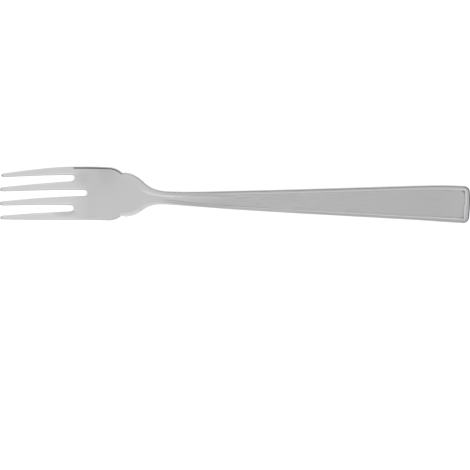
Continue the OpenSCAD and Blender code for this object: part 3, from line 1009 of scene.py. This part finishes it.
# %% Press the blank
stroke = blank.modifiers.new("press", "NODES")
stroke.node_group = press
for name, value in sizes.items():
    stroke[socket_ids[name]] = float(value)
stroke[profile_socket.identifier] = profile
stroke[steel_socket.identifier] = steel
graph = bpy.context.evaluated_depsgraph_get()
pressed = bpy.data.meshes.new_from_object(blank.evaluated_get(graph))
blank.modifiers.clear()
blank.data = pressed
pressed.name = "fork_in_steel"
bpy.data.objects.remove(profile)
fork = blank
low = np.array([v.co for v in pressed.vertices]).min(0) / MM
high = np.array([v.co for v in pressed.vertices]).max(0) / MM
print("pressed fork, mm:", low.round(3), high.round(3))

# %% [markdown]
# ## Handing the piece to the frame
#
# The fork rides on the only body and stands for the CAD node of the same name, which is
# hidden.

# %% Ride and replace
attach(fork, "root")
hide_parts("fork")

# %% [markdown]
# ## Floor and light
#
# The fork lies on a plain white sheet that is lit evenly from all sides, so hardly any
# shadow shows. The floor's own glow stands for most of that even light.

# %% Floor
floor_half = 1.5
floor_mesh = bpy.data.meshes.new("floor")
floor_signs = [(-1, -1), (1, -1), (1, 1), (-1, 1)]
floor_corners = [(x * floor_half, y * floor_half, 0) for x, y in floor_signs]
floor_mesh.from_pydata(floor_corners, [], [(0, 1, 2, 3)])
floor = bpy.data.objects.new("floor", floor_mesh)
bpy.context.scene.collection.objects.link(floor)
paper = bpy.data.materials.new("white_paper")
paper.use_nodes = True
paper_shader = paper.node_tree.nodes["Principled BSDF"]
paper_shader.inputs["Base Color"].default_value = (0.12, 0.12, 0.12, 1)
paper_shader.inputs["Roughness"].default_value = 0.9
paper_shader.inputs["Emission Color"].default_value = (1, 1, 1, 1)
paper_shader.inputs["Emission Strength"].default_value = 0.95
floor_mesh.materials.append(paper)

# %% [markdown]
# Polished metal shows what is round it more than its own colour, so the sky is written as
# brightness by direction. East is beyond the handle, north is the far side. The sky is
# pale overhead. It is brighter in the east, towards the tips' near corner and in the near
# east, and dimmer on the far side, in one spot on the near side, and low down except in
# the east. Those steps draw the darker and lighter bands along the fork's bends. The lamp
# is hidden from reflections. Without it the steel is less than 1 of 255 darker on average.

# %% Sky and lamp
world = bpy.data.worlds.new("studio")
bpy.context.scene.world = world
world.use_nodes = True
air = world.node_tree
backdrop = air.nodes["Background"]
direction = air.nodes.new("ShaderNodeTexCoord")
parts = air.nodes.new("ShaderNodeSeparateXYZ")
air.links.new(direction.outputs["Generated"], parts.inputs[0])
air_math = partial(maths, air)
air_ramp = partial(remap, air, curve="SMOOTHSTEP")


def air_toward(x, y, z, near, far, low, high):
    """Light that grows towards one direction; near and far are cosines of the angle to it."""
    size = (x * x + y * y + z * z) ** 0.5
    node = air.nodes.new("ShaderNodeVectorMath")
    node.operation = "DOT_PRODUCT"
    air.links.new(direction.outputs["Generated"], node.inputs[0])
    node.inputs[1].default_value = (x / size, y / size, z / size)
    return air_ramp(node.outputs["Value"], far, near, low, high)


east, north, up = parts.outputs["X"], parts.outputs["Y"], parts.outputs["Z"]
overhead = 0.8
right_box = air_ramp(east, 0.3, 0.7, 0.0, 0.165)
left_box = air_toward(-0.6, -0.8, 0.0, 0.84, 0.6, 0.0, 0.24)
dim_side = air_ramp(east, 0.0, 0.3, 0.0, -0.03)
dim_spot = air_toward(-0.2, -0.5, 0.84, 0.985, 0.94, 0.0, -0.09)
north_glow = air_ramp(north, -0.35, 0.1, -0.025, 0.03)
far_side = air_ramp(north, 0.15, 0.85, 0.0, -0.3)
far_side = air_math("MULTIPLY", far_side, air_ramp(east, 0.4, 0.5, 1.0, 0.0))
far_side = air_math("MULTIPLY", far_side, air_ramp(east, -0.5, -0.34, 0.0, 1.0))
near_east = air_ramp(north, -0.3, -0.6, 0.0, 0.25)
near_east = air_math("MULTIPLY", near_east, air_ramp(east, 0.1, 0.5, 0.0, 1.0))
light = overhead
for part in (right_box, left_box, far_side, near_east, dim_side, dim_spot, north_glow):
    light = air_math("ADD", light, part)
low_down = air_ramp(up, 0.05, 0.3, 0.25, 1.0)
horizon = air_math("MAXIMUM", low_down, air_ramp(east, 0.35, 0.5, 0.0, 1.0))
light = air_math("MULTIPLY", light, horizon)
air.links.new(light, backdrop.inputs["Strength"])
backdrop.inputs["Color"].default_value = (1, 1, 1, 1)

lamp_data = bpy.data.lights.new("softbox", "AREA")
lamp_data.shape = "SQUARE"
lamp_data.size = 2.0
lamp_data.energy = 10
lamp = bpy.data.objects.new("softbox", lamp_data)
lamp.location = (0, 0, 1.6)
lamp.visible_glossy = False
bpy.context.scene.collection.objects.link(lamp)
bpy.context.scene.view_settings.view_transform = "Standard"

# %% [markdown]
# ## Camera
#
# The photo looks almost straight down, from a little to the +Y side, through a long lens,
# and the fork lies at a slight slant across the whole width of the picture. One pixel of
# the 470 covers 0.383 mm.

# %% Camera
tilt, roll = np.radians(7.75), np.radians(1.723)
pixel = 0.38298 * MM
frame_w, below_fork = 470 * pixel, 38.05 * pixel
lens, sensor = 1100, 36
view_dir = Vector((0, np.sin(tilt), np.cos(tilt)))
level_up = Vector((0, np.cos(tilt), -np.sin(tilt)))
right = Vector((1, 0, 0)) * np.cos(roll) + level_up * np.sin(roll)
upward = view_dir.cross(right)
aim = -upward * below_fork
camera_data = bpy.data.cameras.new("camera")
camera_data.lens = lens
camera_data.sensor_width = sensor
camera_data.clip_end = 20
camera = bpy.data.objects.new("camera", camera_data)
pose = Matrix((right, upward, view_dir)).transposed().to_4x4()
pose.translation = aim + view_dir * (frame_w * lens / sensor)
camera.matrix_world = pose
bpy.context.scene.collection.objects.link(camera)
bpy.context.scene.camera = camera
print(f"camera {camera.location.length:.2f} m away, picture {frame_w / MM:.1f} mm wide")
